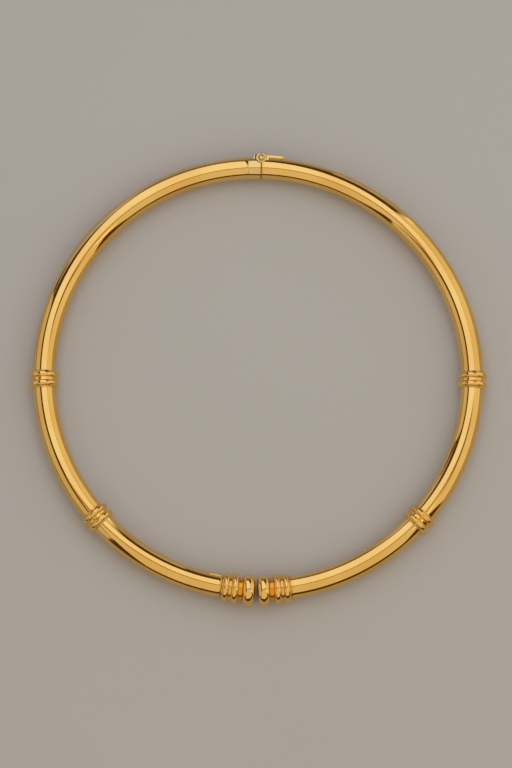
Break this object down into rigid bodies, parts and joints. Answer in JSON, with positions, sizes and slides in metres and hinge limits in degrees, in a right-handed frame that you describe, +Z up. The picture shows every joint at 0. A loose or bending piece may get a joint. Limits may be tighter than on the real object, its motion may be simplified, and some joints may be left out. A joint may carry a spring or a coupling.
{
  "type": "hinged gold neck ring in torc form",
  "caption": "Rigid round neck ring of polished gold tube in two hinged halves, with ridged bands and ribbed terminals that meet at the front.",
  "frame": {"origin": "under the middle of the ring's own box, on the surface that it lies on", "axes": "+Z up, through the ring; +Y from the front opening towards the hinge; +X to the right of the opening seen from above"},
  "size_m": [0.1348, 0.135, 0.009],
  "materials": {
    "polished_gold": "mirror-polished yellow gold",
    "hinge_gold": "softly polished yellow gold, worn in the hinge"
  },
  "bodies": {
    "left_half": {"left_hoop": "polished_gold", "left_side_band": "polished_gold", "left_front_band": "polished_gold", "left_terminal": "polished_gold", "left_hinge_sleeve": "hinge_gold", "hinge_pin": "hinge_gold"},
    "right_half": {"right_hoop": "polished_gold", "right_side_band": "polished_gold", "right_front_band": "polished_gold", "right_terminal": "polished_gold", "right_hinge_leaf": "hinge_gold"}
  },
  "joints": [
    {"name": "back_hinge", "type": "hinge", "parent": "left_half", "child": "right_half", "pos_m": [0, 0.06599, 0.00433], "axis": [0, 0, 1], "range_deg": [0, 55]}
  ]
}
